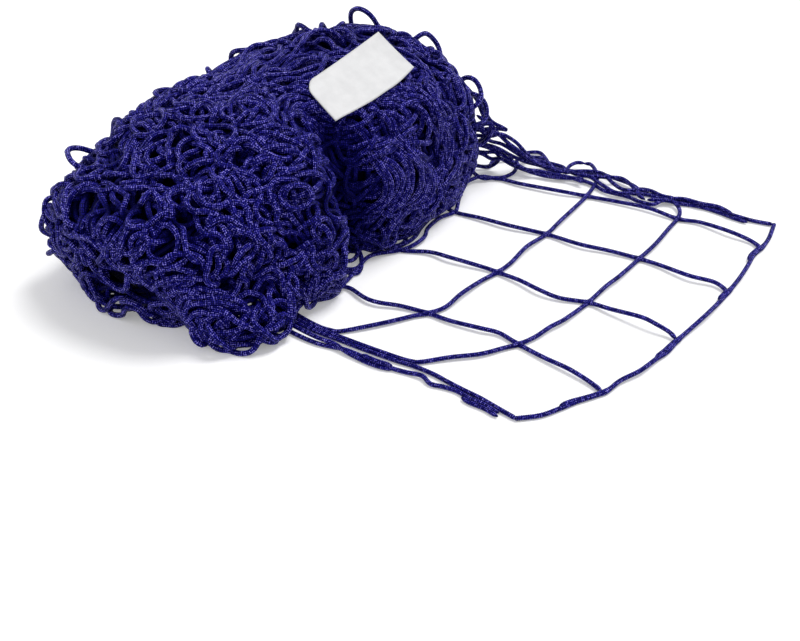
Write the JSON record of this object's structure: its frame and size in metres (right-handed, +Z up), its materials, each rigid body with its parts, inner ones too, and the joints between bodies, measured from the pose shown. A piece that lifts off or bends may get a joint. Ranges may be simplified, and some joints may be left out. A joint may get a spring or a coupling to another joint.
{
  "type": "rolled sports net",
  "caption": "Coarse-meshed knotless net of blue braided cord, rolled into a two-lobed bundle with its loose end laid out flat as foldable rows, and a plain sewn label.",
  "frame": {"origin": "on the floor, on the bundle's flat underside, under the middle of the roll", "axes": "+X from the roll towards the loose end, +Y along the roll towards its far end, +Z up"},
  "size_m": [0.5428, 0.5513, 0.187],
  "materials": {
    "cord": "braided polypropylene cord, royal blue to violet, softly glossy filaments",
    "inner_cord": "the same cord in shade, inside the bundle",
    "label_cloth": "white woven satin, bare"
  },
  "bodies": {
    "bundle": {"inner_turns": "inner_cord", "turn_01": "cord", "turn_02": "cord", "turn_03": "cord", "turn_04": "cord", "turn_05": "cord", "turn_06": "cord", "turn_07": "cord", "turn_08": "cord", "turn_09": "cord", "turn_10": "cord", "rolled_cross_cord_1": "cord", "rolled_cross_cord_2": "cord", "rolled_cross_cord_3": "cord", "rolled_cross_cord_4": "cord", "rolled_cross_cord_5": "cord", "rolled_cross_cord_6": "cord", "rolled_cross_cord_7": "cord", "slack_loop_1": "cord", "slack_loop_2": "cord", "slack_loop_3": "cord", "slack_loop_4": "cord", "slack_loop_5": "cord", "slack_loop_6": "cord", "cross_cord_foot": "cord"},
    "row_1": {"row_1_cord_01": "cord", "row_1_cord_02": "cord", "row_1_cord_03": "cord", "row_1_cord_04": "cord", "row_1_cord_05": "cord", "row_1_cord_06": "cord", "row_1_cord_07": "cord", "row_1_cord_08": "cord", "row_1_cord_09": "cord", "row_1_cord_10": "cord", "cross_cord_1": "cord"},
    "row_2": {"row_2_cord_01": "cord", "row_2_cord_02": "cord", "row_2_cord_03": "cord", "row_2_cord_04": "cord", "row_2_cord_05": "cord", "row_2_cord_06": "cord", "row_2_cord_07": "cord", "row_2_cord_08": "cord", "row_2_cord_09": "cord", "row_2_cord_10": "cord", "cross_cord_2": "cord"},
    "row_3": {"row_3_cord_01": "cord", "row_3_cord_02": "cord", "row_3_cord_03": "cord", "row_3_cord_04": "cord", "row_3_cord_05": "cord", "row_3_cord_06": "cord", "row_3_cord_07": "cord", "row_3_cord_08": "cord", "row_3_cord_09": "cord", "row_3_cord_10": "cord", "end_cord": "cord"},
    "label": {"label": "label_cloth"}
  },
  "joints": [
    {"name": "row_1_fold", "type": "hinge", "parent": "bundle", "child": "row_1", "pos_m": [0.104, 0, 0.00295], "axis": [0, -1, 0], "range_deg": [0, 30]},
    {"name": "row_2_fold", "type": "hinge", "parent": "row_1", "child": "row_2", "pos_m": [0.2, 0, 0.00295], "axis": [0, -1, 0], "range_deg": [0, 60]},
    {"name": "row_3_fold", "type": "hinge", "parent": "row_2", "child": "row_3", "pos_m": [0.296, 0, 0.00295], "axis": [0, -1, 0], "range_deg": [0, 60]},
    {"name": "label_lift", "type": "hinge", "parent": "bundle", "child": "label", "pos_m": [0.02034, 0.02916, 0.1774], "axis": [-0.0424, -0.9877, -0.1504], "range_deg": [0, 90]}
  ],
  "couplings": [
    {"joint": "row_2_fold", "follows": "row_1_fold", "ratio": 2},
    {"joint": "row_3_fold", "follows": "row_1_fold", "ratio": 2}
  ]
}
